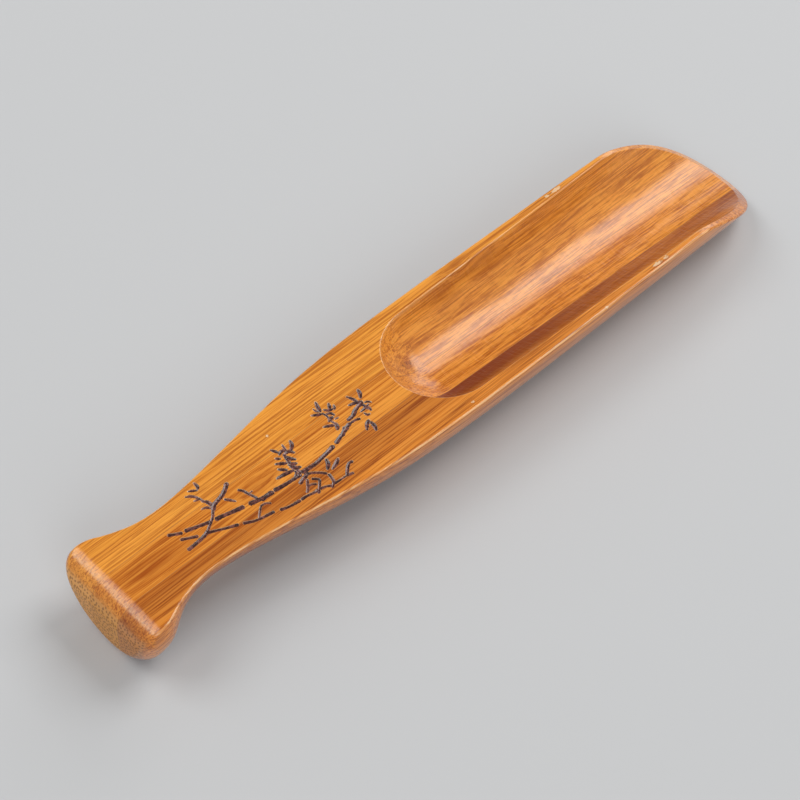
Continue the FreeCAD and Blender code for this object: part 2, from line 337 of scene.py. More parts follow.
@dataclass(frozen=True)
class Bamboo:
    """Carbonised bamboo strip, planed, sanded and lacquered.

    Steaming has browned it through. The eye sees fine dark fibres in long
    broken lines, dots where the fibres end, and a clear coat that shines on
    the bowl and on the rounded edges. Edges are paler from wear, and their
    paler colour, also on the knob's top edge, is partly a painted highlight.

    light, base, dark, pale: The ground, its browner parts, its dark and its pale fibres.
    right_side, width: Where the strip's right side lies and how wide it is, in millimetres.
    crowd_right, crowd_left: How strong the dark lines are at either side of the strip.
    clouded: How strong the brown clouds in the bowl are.
    seed: Shifts the noise, so that each strip has a grain of its own.
    stain_and_shade_left: How strong the dark band in the bowl is at the strip's left side. It is partly the strip's
    own darker tone and partly painted shade.
    """

    name: str
    light: str
    base: str
    dark: str
    pale: str
    end_grain: str
    right_side: float
    width: float
    crowd_right: float
    crowd_left: float
    clouded: float
    seed: float
    stain_and_shade_left: float = 0.0
    eyes: tuple[GrainEye, ...] = ()
    chips: tuple[Chip, ...] = ()
    tears: tuple[Tear, ...] = ()
    end_dots: str = "805022"
    # Paler colour of the rounded edges: partly wear, partly a painted highlight along the rims, the near edge and
    # the knob's top edge.
    rubbed_and_highlight: str = "EDBE86"
    bruised: str = "EFD0A8"
    # Dark red-brown of the bowl's band: partly the strip's own tone, partly painted shade that deepens below the
    # rim and towards the back of the bowl.
    stain_and_shade: str = "6C1C05"
    torn: str = "6E3510"

    # How far the grain wanders, over which length and width, in millimetres, and its share upwards.
    wander: float = 1.6
    wander_length: float = 70.0
    wander_width: float = 14.0
    wander_lift: float = 0.7

    # The noise of the grain, and the distance of the fibre bundles and of the specks in millimetres.
    line_streak: Streak = Streak(0.56, 52.0, 3.0)
    fine_streak: Streak = Streak(0.31, 20.0)
    dash_streak: Streak = Streak(0.5, 12.0)
    broad_streak: Streak = Streak(3.2, 60.0)
    blotch_streak: Streak = Streak(1.8, 8.0, 3.0)
    ripple_streak: Streak = Streak(3.0, 0.95, 1.0)
    streak_roughness: float = 0.6
    bundle_gap: float = 0.76
    bundle_disorder: float = 0.8
    speck_gap: float = 0.5

    # Where the noise turns into fibres.
    browner: Fade = Fade(0.38, 0.62)
    dark_lines: Fade = Fade(0.52, 0.6)
    dark_fibres: Fade = Fade(0.52, 0.61, 0.0, 0.6)
    dark_dashes: Fade = Fade(0.6, 0.67, 0.0, 0.6)
    pale_lines: Fade = Fade(0.46, 0.38, 0.0, 0.45)
    pale_fibres: Fade = Fade(0.45, 0.37, 0.0, 0.5)
    eye_dashes: Fade = Fade(0.35, 0.6, 0.45, 1.0)

    # Where the bowl is, and how its dark band, its clouds and its tears run out. The darkening with depth and
    # towards the back of the bowl is painted shade.
    bowl_height: Fade = Fade(mm(16.3), mm(16.0))
    bowl_slope: Fade = Fade(0.1, 0.4)
    bowl_back: Fade = Fade(mm(-12.0), mm(-4.0))
    # Painted shade: the dark band and the clouds grow stronger with the depth below the face.
    painted_shade_depth: Fade = Fade(mm(16.4), mm(10.0), 0.3, 1.0)
    stain_and_shade_across: Fade = Fade(0.3, 0.72)
    stain_and_shade_along: Fade = Fade(mm(0.0), mm(80.0), 1.0, 0.45)
    clouds: Fade = Fade(0.5, 0.7)
    tear_edge: Fade = Fade(1.72, 1.9)
    tear_raggedness: float = 1.6

    # Where the paler edges (wear and painted highlight) are, by height, by slope and along the scoop, how they
    # break up, and the chips.
    rim_height: Fade = Fade(mm(15.7), mm(16.0))
    rim_foot: Fade = Fade(0.3, 0.5)
    rim_top: Fade = Fade(0.985, 0.9)
    # At the butt the paler edge keeps a share of 0.45, which paints a highlight band on the knob's top edge.
    rim_at_butt: Fade = Fade(mm(-84.6), mm(-83.0), 0.45, 1.0)
    rim_dashes: Fade = Fade(0.62, 0.4, 0.2, 0.85)
    chip_edge: Fade = Fade(3.0, 2.6)
    chip_raggedness: float = 4.0
    chip_strength: float = 0.7

    # Where the end grain begins, its dots, and how the finish changes on it.
    cut_end: Fade = Fade(0.74, 0.93)
    bundle_dots: Fade = Fade(0.2, 0.4, 0.75, 0.0)
    end_relief: Fade = Fade(0.1, 0.4, 1.0, 0.15)
    end_roughness: Fade = Fade(0.0, 1.0, 0.35, 0.6)
    end_coat: Fade = Fade(0.9, 0.98, 1.0, 0.35)

    # Heights of the relief in millimetres.
    ripple_height: float = 0.28
    fibre_height: float = 0.03
    line_depth: float = 0.03
    chip_depth: float = 0.12

    def _spot(self, tree: Tree) -> Spot:
        """Adds the coordinates and directions that the features are placed by.

        Args:
            tree: The material's node tree.

        Returns:
            The spot's sockets.
        """
        place = add_node(tree, "ShaderNodeTexCoord").outputs["Object"]
        along, across, up = add_node(tree, "ShaderNodeSeparateXYZ", inputs={"Vector": place}).outputs
        normal = add_node(tree, "ShaderNodeNewGeometry").outputs["True Normal"]
        facing = add_node(tree, "ShaderNodeSeparateXYZ", inputs={"Vector": normal}).outputs
        return Spot(
            along, across, up,
            grain=self._grain(tree, place, (along, across, up)),
            from_right=maths(tree, "DIVIDE", maths(tree, "SUBTRACT", across, mm(self.right_side)), mm(self.width)),
            facing_up=facing[2],
            endwise=product(tree, facing[0], -1.0),
            in_bowl=product(tree, self.bowl_height.over(tree, up), self.bowl_slope.over(tree, facing[2]),
                            self.bowl_back.over(tree, along)))

    def _grain(self, tree: Tree, place: Socket, parts: tuple[Socket, ...]) -> Socket:
        """Lets the grain wander, and part round its eyes.

        Args:
            tree: The material's node tree.
            place: The object's coordinates.
            parts: Their x, y and z.

        Returns:
            The coordinates that the grain follows.
        """
        along, across, up = parts
        stretched = add_node(tree, "ShaderNodeMapping", inputs={
            "Vector": place, "Location": (self.seed, self.seed, 0.0),
            "Scale": (1 / mm(self.wander_length), 1 / mm(self.wander_width), 1 / mm(self.wander_width))})
        noise = add_node(tree, "ShaderNodeTexNoise",
                         inputs={"Vector": stretched.outputs[0], "Scale": 1.0, "Detail": 2.0})
        drift = product(tree, maths(tree, "SUBTRACT", noise.outputs[0], 0.5), mm(self.wander))
        for eye in self.eyes:
            near, aside = self._nearness(tree, along, across, eye)
            drift = maths(tree, "SUBTRACT", drift, product(tree, aside, near, mm(eye.push)))
        shifted = add_node(tree, "ShaderNodeCombineXYZ", inputs={
            0: along,
            1: maths(tree, "ADD", across, drift),
            2: maths(tree, "ADD", up, product(tree, drift, self.wander_lift))})
        return shifted.outputs[0]

    @staticmethod
    def _nearness(tree: Tree, along: Socket, across: Socket, mark: GrainEye | Tear) -> tuple[Socket, Socket]:
        """Tells how near a point is to an eye of the grain or to a tear.

        Args:
            tree: The material's node tree.
            along: The point's x.
            across: The point's y.
            mark: The eye or the tear.

        Returns:
            A value that is 1 in the mark and fades to 0, and the place across it.
        """
        ahead = maths(tree, "DIVIDE", maths(tree, "SUBTRACT", along, mm(mark.x)), mm(mark.length))
        aside = maths(tree, "DIVIDE", maths(tree, "SUBTRACT", across, mm(mark.y)), mm(mark.width))
        far = maths(tree, "ADD", product(tree, ahead, ahead), product(tree, aside, aside))
        return maths(tree, "EXPONENT", product(tree, far, -1.0)), aside

    def _streaks(self, tree: Tree, spot: Spot, streak: Streak) -> Socket:
        """Adds noise that is drawn out along the fibres.

        Args:
            tree: The material's node tree.
            spot: The spot.
            streak: The noise's measures.

        Returns:
            The noise's value.
        """
        drawn = add_node(tree, "ShaderNodeMapping", inputs={
            "Vector": spot.grain, "Location": (self.seed, 0.0, self.seed),
            "Scale": (1 / mm(streak.length), 1 / mm(streak.gap), 1 / mm(streak.gap))})
        return add_node(tree, "ShaderNodeTexNoise", inputs={
            "Vector": drawn.outputs[0], "Scale": 1.0, "Detail": streak.detail,
            "Roughness": self.streak_roughness}).outputs[0]

    def _noise(self, tree: Tree, spot: Spot) -> GrainNoise:
        """Adds the noise of the grain.

        Args:
            tree: The material's node tree.
            spot: The spot.

        Returns:
            The noise's sockets.
        """
        return GrainNoise(
            lines=self._streaks(tree, spot, self.line_streak),
            fine=self._streaks(tree, spot, self.fine_streak),
            dashes=self._streaks(tree, spot, self.dash_streak),
            broad=self._streaks(tree, spot, self.broad_streak),
            blotch=self._streaks(tree, spot, self.blotch_streak),
            specks=add_node(tree, "ShaderNodeTexNoise", inputs={
                "Vector": spot.grain, "Scale": 1 / mm(self.speck_gap), "Detail": 3.0}).outputs[0])

    def _bundles(self, tree: Tree, spot: Spot) -> Socket:
        """Adds the fibre bundles, which run through the whole length of the strip.

        Args:
            tree: The material's node tree.
            spot: The spot.

        Returns:
            The distance from the nearest bundle's middle, as a share of the gap.
        """
        _, across, up = add_node(tree, "ShaderNodeSeparateXYZ", inputs={"Vector": spot.grain}).outputs
        section = add_node(tree, "ShaderNodeCombineXYZ", inputs={0: across, 1: up})
        return add_node(tree, "ShaderNodeTexVoronoi", {"voronoi_dimensions": "2D", "feature": "F1"}, {
            "Vector": section.outputs[0], "Scale": 1 / mm(self.bundle_gap),
            "Randomness": self.bundle_disorder}).outputs["Distance"]

    def _bruises(self, tree: Tree, spot: Spot, noise: GrainNoise) -> Socket | float:
        """Marks the chips in the edges.

        Args:
            tree: The material's node tree.
            spot: The spot.
            noise: The noise, whose specks break their outline.

        Returns:
            A value that is 1 in a chip and 0 elsewhere.
        """
        total = 0.0
        for chip in self.chips:
            far = 0.0
            for socket, middle, reach in ((spot.along, chip.x, chip.length), (spot.across, chip.y, chip.width),
                                          (spot.up, chip.z, chip.width)):
                step = maths(tree, "DIVIDE", maths(tree, "SUBTRACT", socket, mm(middle)), mm(reach))
                far = maths(tree, "ADD", far, product(tree, step, step))
            far = maths(tree, "ADD", far, product(tree, noise.specks, self.chip_raggedness))
            total = maths(tree, "MAXIMUM", total, self.chip_edge.over(tree, far))
        return total

    def _fibre_tone(self, tree: Tree, spot: Spot, noise: GrainNoise) -> Socket:
        """Colours the ground, the fibres and the eyes of the grain.

        Args:
            tree: The material's node tree.
            spot: The spot.
            noise: The noise.

        Returns:
            The colour's socket.
        """
        dark, pale = linear(self.dark), linear(self.pale)
        crowd = Fade(0.0, 1.0, self.crowd_right, self.crowd_left).over(tree, spot.from_right)
        tone = blend(tree, self.browner.over(tree, noise.broad), linear(self.light), linear(self.base))
        tone = blend(tree, product(tree, self.dark_lines.over(tree, noise.lines), crowd), tone, dark)
        tone = blend(tree, self.dark_fibres.over(tree, noise.fine), tone, dark)
        tone = blend(tree, self.dark_dashes.over(tree, noise.dashes), tone, dark)
        tone = blend(tree, self.pale_lines.over(tree, noise.lines), tone, pale)
        tone = blend(tree, self.pale_fibres.over(tree, noise.fine), tone, pale)
        for eye in self.eyes:
            near, _ = self._nearness(tree, spot.along, spot.across, eye)
            tone = blend(tree, product(tree, near, self.eye_dashes.over(tree, noise.dashes), eye.shade), tone, dark)
        return tone

    def _bowl_tone(self, tree: Tree, spot: Spot, noise: GrainNoise, tone: Socket) -> Socket:
        """Adds a dark band along the strip's left side, which is its own darker tone, and brown clouds of random
        tone. Painted shade makes both grow with the depth below the rim, and makes the band darker towards the back
        of the bowl.

        Args:
            tree: The material's node tree.
            spot: The spot.
            noise: The noise.
            tone: The colour so far.

        Returns:
            The colour's socket.
        """
        # Painted shade: stronger deeper below the rim. The band also darkens towards the back of the bowl as
        # painted shade.
        depth = self.painted_shade_depth.over(tree, spot.up)
        stain_and_shade_share = product(tree, self.stain_and_shade_across.over(tree, spot.from_right), self.stain_and_shade_left, depth,
                          self.stain_and_shade_along.over(tree, spot.along))
        tone = blend(tree, stain_and_shade_share, tone, linear(self.stain_and_shade))
        # Brown clouds of random tone, made stronger with depth as painted shade.
        clouded = product(tree, self.clouds.over(tree, noise.blotch), self.clouded, depth)
        return blend(tree, clouded, tone, linear(self.dark))

    def _torn_bowl(self, tree: Tree, spot: Spot, noise: GrainNoise, tone: Socket) -> Socket:
        """Adds the tears at the back of the bowl.

        Args:
            tree: The material's node tree.
            spot: The spot.
            noise: The noise, whose specks break their outline.
            tone: The colour so far.

        Returns:
            The colour's socket.
        """
        for tear in self.tears:
            near, _ = self._nearness(tree, spot.along, spot.across, tear)
            ragged = maths(tree, "ADD", near, product(tree, noise.specks, self.tear_raggedness))
            share = product(tree, self.tear_edge.over(tree, ragged), tear.shade, spot.in_bowl)
            tone = blend(tree, share, tone, linear(self.torn))
        return tone

    def _relief(self, tree: Tree, spot: Spot, noise: GrainNoise, bruise: Socket | float) -> Socket:
        """Adds the ripples of the gouge, the fibres and the chips as fine relief.

        Args:
            tree: The material's node tree.
            spot: The spot.
            noise: The noise.
            bruise: 1 in a chip and 0 elsewhere.

        Returns:
            The normal's socket.
        """
        ripples = self._streaks(tree, spot, self.ripple_streak)
        height = product(tree, ripples, spot.in_bowl, mm(self.ripple_height))
        height = maths(tree, "ADD", height, product(tree, noise.fine, mm(self.fibre_height)))
        height = maths(tree, "SUBTRACT", height, product(tree, noise.lines, mm(self.line_depth)))
        height = maths(tree, "SUBTRACT", height, product(tree, bruise, mm(self.chip_depth)))
        height = product(tree, height, self.end_relief.over(tree, spot.endwise))
        bump = add_node(tree, "ShaderNodeBump", inputs={"Strength": 1.0, "Distance": 1.0, "Height": height})
        return bump.outputs[0]

    def build(self) -> bpy.types.Material:
        """Makes the material.

        Returns:
            The lacquered bamboo.
        """
        material, tree = new_material(self.name)
        spot = self._spot(tree)
        noise = self._noise(tree, spot)
        bruise = self._bruises(tree, spot, noise)
        # Paler rounded edges: partly wear, partly a painted highlight on the rims, the near edge and the knob's top
        # edge.
        edge = product(tree, self.rim_height.over(tree, spot.up), self.rim_foot.over(tree, spot.facing_up),
                       self.rim_top.over(tree, spot.facing_up), self.rim_at_butt.over(tree, spot.along),
                       self.rim_dashes.over(tree, noise.dashes))
        cut_end = self.cut_end.over(tree, spot.endwise)
        dots = self.bundle_dots.over(tree, self._bundles(tree, spot))

        tone = self._fibre_tone(tree, spot, noise)
        tone = self._bowl_tone(tree, spot, noise, tone)
        tone = blend(tree, cut_end, tone, blend(tree, dots, linear(self.end_grain), linear(self.end_dots)))
        tone = blend(tree, edge, tone, linear(self.rubbed_and_highlight))
        tone = blend(tree, product(tree, bruise, self.chip_strength), tone, linear(self.bruised))
        tone = self._torn_bowl(tree, spot, noise, tone)

        shader = add_node(tree, "ShaderNodeBsdfPrincipled", inputs={
            "Base Color": tone, "Roughness": self.end_roughness.over(tree, cut_end), "IOR": 1.5,
            "Specular IOR Level": 0.1, "Coat Weight": self.end_coat.over(tree, spot.endwise),
            "Coat Roughness": 0.23, "Normal": self._relief(tree, spot, noise, bruise)})
        add_node(tree, "ShaderNodeOutputMaterial", inputs={"Surface": shader.outputs[0]})
        return material


@dataclass(frozen=True)
class CharredGroove:
    """Bamboo burnt by a hot point and lacquered over.

    The eye sees a lumpy, shiny purple-brown groove with a pale tan rim, which is partly scorching and partly a
    painted highlight along the groove's edge.

    face: Height of the flat face in millimetres.
    rim_below, rim_above: How far below the face the pale rim (scorching and painted highlight) begins and is full.
    soot_gap, lump_gap: Distances of the specks and of the lumps in millimetres.
    lump_height: How high the lumps are in millimetres.
    """

    name: str = "charred bamboo"
    burnt: str = "3B1C1A"
    scorched: str = "7E4B42"
    # Pale tan of the groove's rim: partly scorching, partly a painted highlight.
    rim: str = "E3B687"
    face: float = 16.5
    scorched_specks: Fade = Fade(0.4, 0.7)
    rim_below: float = 0.12
    rim_above: float = 0.02
    soot_gap: float = 0.7
    lump_gap: float = 0.55
    lump_height: float = 0.3

    def build(self) -> bpy.types.Material:
        """Makes the material, with soot in uneven specks.

        Returns:
            The charred bamboo.
        """
        material, tree = new_material(self.name)
        place = add_node(tree, "ShaderNodeTexCoord").outputs["Object"]
        height = add_node(tree, "ShaderNodeSeparateXYZ", inputs={"Vector": place}).outputs[2]
        soot = add_node(tree, "ShaderNodeTexNoise",
                        inputs={"Vector": place, "Scale": 1 / mm(self.soot_gap), "Detail": 3.0}).outputs[0]
        lumps = add_node(tree, "ShaderNodeTexNoise",
                         inputs={"Vector": place, "Scale": 1 / mm(self.lump_gap), "Detail": 1.0}).outputs[0]
        tone = blend(tree, self.scorched_specks.over(tree, soot), linear(self.burnt), linear(self.scorched))
        # Pale rim at the top of the groove: partly scorching, partly a painted highlight along its edge.
        at_rim = Fade(mm(self.face - self.rim_below), mm(self.face - self.rim_above))
        tone = blend(tree, at_rim.over(tree, height), tone, linear(self.rim))
        bump = add_node(tree, "ShaderNodeBump", inputs={
            "Strength": 1.0, "Distance": 1.0, "Height": product(tree, lumps, mm(self.lump_height))})
        shader = add_node(tree, "ShaderNodeBsdfPrincipled", inputs={
            "Base Color": tone, "Roughness": 0.5, "IOR": 1.5, "Specular IOR Level": 0.15,
            "Coat Weight": 1.0, "Coat Roughness": 0.18, "Normal": bump.outputs[0]})
        add_node(tree, "ShaderNodeOutputMaterial", inputs={"Surface": shader.outputs[0]})
        return material


@dataclass(frozen=True)
class WoodGlue:
    """Dried wood glue, a brown hairline between two strips."""

    name: str
    colour: str = "A0622A"

    def build(self) -> bpy.types.Material:
        """Makes the material.

        Returns:
            The dried glue.
        """
        material, tree = new_material(self.name)
        shader = add_node(tree, "ShaderNodeBsdfPrincipled", inputs={
            "Base Color": linear(self.colour), "Roughness": 0.45, "IOR": 1.5})
        add_node(tree, "ShaderNodeOutputMaterial", inputs={"Surface": shader.outputs[0]})
        return material


@dataclass(frozen=True)
class BackdropPaper:
    """Smooth matt grey backdrop paper."""

    name: str = "grey backdrop paper"
    colour: str = "C2C3C4"

    def build(self) -> bpy.types.Material:
        """Makes the material.

        Returns:
            The paper.
        """
        material, tree = new_material(self.name)
        shader = add_node(tree, "ShaderNodeBsdfPrincipled", inputs={
            "Base Color": linear(self.colour), "Roughness": 0.9, "Specular IOR Level": 0.1})
        add_node(tree, "ShaderNodeOutputMaterial", inputs={"Surface": shader.outputs[0]})
        return material


class StrokeKind(Enum):
    """The marks that the spray is drawn with."""

    STEM = "stem"
    TWIG = "twig"
    LEAF = "leaf"


# A mark's lumps: their height as a share of its width, how fast they follow each other, and their shift.
LUMP_HEIGHT, LUMP_PACE, LUMP_SHIFT = 0.09, 9.0, 5.0

# Widths as shares of a mark's width: a leaf's ends and how much it swells, a twig, a stem and its knots.
LEAF_ENDS, LEAF_SWELLING = 0.62, 0.52
TWIG_WIDTH = 1.04
STEM_WIDTH, STEM_KNOTS, STEM_LUMPS = 0.93, 0.07, 0.6

# A leaf swells like half a wave from this start over this part of it, so its stalk and tip keep some width.
LEAF_WAVE_START, LEAF_WAVE_PART = 0.1, 0.82


@dataclass(frozen=True)
class Stroke:
    """One mark of the hot point on the flat face, in millimetres.

    kind: A stem is blunt and even, a twig is lumpy, a leaf swells and narrows.
    width: The widest place of the mark.
    points: Its way over the face, as (x, y) pairs.
    """

    kind: StrokeKind
    width: float
    points: tuple[tuple[float, float], ...]

    def swell(self, share: float) -> float:
        """Gives the width at a share of the way, as a share of the widest.

        Args:
            share: 0 at the start of the mark and 1 at its end.

        Returns:
            The width's share.
        """
        lumps = LUMP_HEIGHT * math.sin(LUMP_PACE * share * len(self.points) + LUMP_SHIFT * self.points[0][0])
        if self.kind is StrokeKind.LEAF:
            wave = math.sin(math.pi * (LEAF_WAVE_START + LEAF_WAVE_PART * share))
            return LEAF_ENDS + LEAF_SWELLING * wave + lumps
        if self.kind is StrokeKind.TWIG:
            return TWIG_WIDTH + lumps
        return STEM_WIDTH + STEM_KNOTS * math.cos(2 * math.pi * share) + STEM_LUMPS * lumps


def stem(width: float, *points: tuple[float, float]) -> Stroke:
    """Makes a joint of a stem of a width through points, all in millimetres."""
    return Stroke(StrokeKind.STEM, width, points)


def twig(width: float, *points: tuple[float, float]) -> Stroke:
    """Makes a twig of a width through points, all in millimetres."""
    return Stroke(StrokeKind.TWIG, width, points)


def leaf(width: float, *points: tuple[float, float]) -> Stroke:
    """Makes a leaf of a width from its stalk to its tip, all in millimetres."""
    return Stroke(StrokeKind.LEAF, width, points)


STEMS = (
    stem(0.8, (-70.6, 2.7), (-69.5, 2.0), (-68.3, 1.3)),
    stem(0.95, (-67.4, 1.2), (-65.5, 0.5), (-63.0, -0.3), (-62.5, -0.5)),
    stem(1.05, (-61.2, -0.8), (-59.7, -1.1), (-57.5, -1.7), (-55.4, -2.2)),
    stem(1.1, (-53.9, -2.5), (-52.5, -2.9), (-50.6, -3.3), (-48.9, -3.4)),
    stem(0.75, (-69.4, 0.2), (-68.1, -0.5), (-66.5, -1.4)),
    stem(0.75, (-64.4, -2.1), (-62.8, -2.9), (-61.0, -3.8), (-58.9, -4.7)),
    stem(0.75, (-57.8, -5.2), (-56.4, -6.0), (-55.1, -6.5), (-53.3, -6.9), (-51.7, -7.2)),
    stem(1.0, (-51.5, -3.4), (-50.2, -3.4), (-48.8, -3.5)),
    stem(1.0, (-48.2, -3.4), (-46.5, -3.7), (-44.7, -3.9), (-42.8, -4.0), (-41.9, -4.0)),
    stem(1.05, (-41.2, -3.9), (-39.7, -4.0), (-38.0, -4.1), (-36.1, -3.9), (-34.0, -3.6), (-32.5, -3.3)),
    stem(1.0, (-31.5, -3.1), (-30.0, -2.6), (-28.5, -2.1), (-27.2, -1.7)),
    stem(0.95, (-29.4, -2.6), (-27.8, -1.7), (-26.3, -1.4)),
    stem(0.75, (-50.4, -7.7), (-49.1, -8.2), (-47.6, -8.5), (-46.1, -8.7)),
    stem(0.75, (-45.7, -8.7), (-44.4, -8.8), (-42.6, -9.2), (-41.9, -9.2)),
    stem(0.7, (-41.2, -9.3), (-40.2, -9.6), (-39.1, -10.3)),
    stem(0.65, (-38.3, -10.3), (-36.9, -10.4), (-35.2, -10.5), (-33.9, -10.9)),
)

TWIGS = (
    twig(0.8, (-69.8, -2.6), (-67.9, -2.5), (-65.5, -2.2), (-64.3, -1.8)),
    twig(0.6, (-64.1, -1.7), (-62.9, -0.9), (-61.5, 0.0), (-60.4, 1.2)),
    twig(0.9, (-60.2, 1.3), (-59.3, 2.1), (-57.9, 2.5), (-56.7, 2.8), (-55.3, 3.5), (-54.1, 4.4)),
    twig(0.5, (-59.8, 2.0), (-60.0, 3.3), (-60.3, 4.3), (-60.5, 5.3)),
    twig(0.6, (-53.5, 1.6), (-52.9, 0.7), (-52.6, -0.5), (-52.2, -1.8), (-52.0, -3.0)),
    twig(0.4, (-52.5, -0.5), (-51.6, -0.5)),
    twig(0.5, (-54.7, -6.2), (-53.5, -5.1), (-52.8, -4.5)),
    twig(0.5, (-52.7, -4.4), (-51.7, -4.5), (-50.8, -5.2)),
    twig(0.6, (-26.2, -1.4), (-24.8, -1.5), (-23.9, -1.9)),
    twig(0.85, (-25.9, -0.5), (-24.3, -0.3), (-22.8, 0.5), (-20.8, 1.0)),
    twig(0.5, (-28.6, 4.2), (-28.4, 3.2), (-28.6, 1.8), (-28.4, 0.6)),
    twig(0.5, (-28.6, -1.9), (-27.7, -1.2)),
    twig(0.65, (-41.6, -3.8), (-41.6, -2.6), (-41.5, -1.5), (-41.6, -0.3), (-41.4, 0.9), (-41.1, 1.9)),
    twig(0.55, (-43.0, -3.7), (-42.3, -3.2), (-42.1, -2.7)),
    twig(0.8, (-43.4, -5.6), (-42.3, -5.2), (-41.2, -4.9), (-40.5, -4.9)),
    twig(0.6, (-40.5, -5.0), (-39.7, -5.5), (-38.7, -6.4), (-37.9, -7.4)),
    twig(0.65, (-37.7, -7.8), (-37.9, -9.1), (-38.3, -10.0), (-39.3, -10.6)),
    twig(0.6, (-41.7, -5.8), (-42.3, -6.6), (-43.1, -7.6), (-43.8, -8.2)),
    twig(0.55, (-42.5, -7.2), (-41.8, -7.4), (-41.1, -7.9)),
    twig(0.6, (-40.9, -6.4), (-40.0, -7.4), (-40.4, -8.1), (-41.1, -8.8), (-42.2, -9.9)),
    twig(0.7, (-35.0, -10.3), (-34.0, -9.3), (-33.0, -8.6), (-32.1, -8.7)),
)

LEAVES = (
    leaf(0.6, (-60.5, 5.4), (-61.3, 6.7), (-62.3, 7.4)),
    leaf(0.55, (-59.5, 7.0), (-60.3, 7.6), (-61.1, 8.1)),
    leaf(0.65, (-59.3, 7.1), (-58.9, 7.8), (-58.9, 8.9)),
    leaf(0.5, (-60.5, 5.2), (-61.1, 5.3), (-61.7, 5.5)),
    leaf(0.6, (-59.5, 2.4), (-59.8, 3.5), (-60.6, 4.4)),
    leaf(0.55, (-60.2, 1.7), (-60.8, 2.6), (-61.8, 3.0)),
    leaf(0.6, (-57.0, 1.8), (-56.4, 1.0), (-55.6, -0.2)),
    leaf(0.75, (-20.3, 1.9), (-19.6, 2.9), (-19.3, 3.9)),
    leaf(0.65, (-21.4, 1.3), (-21.6, 2.6), (-22.2, 4.1)),
    leaf(0.7, (-20.6, 1.1), (-21.9, 1.7), (-23.4, 2.2)),
    leaf(0.5, (-20.5, 0.6), (-19.8, 0.2), (-19.4, -0.4)),
    leaf(0.65, (-22.7, 0.6), (-21.2, 0.4), (-21.0, -1.1)),
    leaf(0.6, (-21.0, -0.4), (-20.7, -1.1), (-20.8, -1.9)),
    leaf(0.75, (-22.9, 0.7), (-23.8, 0.1), (-24.5, -0.2)),
    leaf(0.6, (-22.6, -0.7), (-21.3, -0.6), (-20.1, -0.3)),
    leaf(0.55, (-22.3, -1.4), (-22.1, -2.2), (-21.5, -2.3)),
    leaf(0.75, (-22.7, -3.3), (-23.7, -3.8), (-24.7, -4.9)),
    leaf(0.75, (-22.9, -3.8), (-22.9, -5.1), (-23.4, -6.3)),
    leaf(0.75, (-28.6, 4.9), (-28.3, 6.0), (-27.8, 7.4)),
    leaf(0.65, (-28.6, 4.2), (-29.6, 4.7), (-30.7, 5.4)),
    leaf(0.5, (-28.9, 5.0), (-29.2, 5.6), (-29.3, 6.4)),
    leaf(0.65, (-26.9, 4.0), (-26.4, 4.7), (-26.0, 5.4)),
    leaf(0.6, (-26.1, 3.7), (-27.2, 4.0), (-27.9, 4.9)),
    leaf(0.5, (-26.2, 3.3), (-25.8, 3.8), (-25.5, 4.4)),
    leaf(0.6, (-27.1, 2.3), (-27.4, 3.2), (-28.3, 3.7)),
    leaf(0.75, (-27.6, 2.2), (-28.3, 2.2), (-29.0, 1.9)),
    leaf(0.8, (-28.3, 0.7), (-28.6, -0.2), (-29.1, -0.9)),
    leaf(0.65, (-28.6, 0.3), (-29.7, 1.0), (-30.8, 1.6)),
    leaf(0.45, (-26.9, 1.3), (-27.3, 1.4), (-27.8, 1.5)),
    leaf(0.75, (-39.4, 1.7), (-38.4, 2.6), (-38.0, 3.7)),
    leaf(0.5, (-40.1, 2.4), (-40.0, 3.2), (-39.8, 4.0)),
    leaf(0.6, (-41.6, 2.8), (-42.0, 3.8), (-42.4, 4.6)),
    leaf(0.7, (-40.0, 2.5), (-41.0, 2.8), (-41.9, 2.5)),
    leaf(0.75, (-41.2, 1.9), (-39.9, 1.8), (-39.3, 0.8)),
    leaf(0.6, (-42.3, 1.6), (-42.7, 1.9), (-43.1, 2.4)),
    leaf(0.8, (-41.3, 1.4), (-41.0, 0.5), (-40.2, -0.6)),
    leaf(0.7, (-42.0, -0.1), (-42.9, 0.5), (-44.0, 1.3)),
    leaf(0.75, (-40.6, -1.5), (-41.4, -1.0), (-42.2, -0.6)),
    leaf(0.7, (-43.1, -1.4), (-43.8, -0.7), (-44.4, -0.0)),
    leaf(0.8, (-40.6, -2.7), (-41.6, -2.1), (-42.2, -1.1)),
    leaf(0.8, (-42.2, -2.3), (-44.1, -1.9), (-46.1, -1.6)),
    leaf(0.65, (-41.0, -5.1), (-41.6, -5.2), (-42.3, -5.4)),
    leaf(0.8, (-37.1, -6.8), (-36.1, -5.8), (-35.6, -4.6)),
    leaf(0.8, (-36.3, -7.4), (-34.8, -6.8), (-33.7, -6.2)),
)


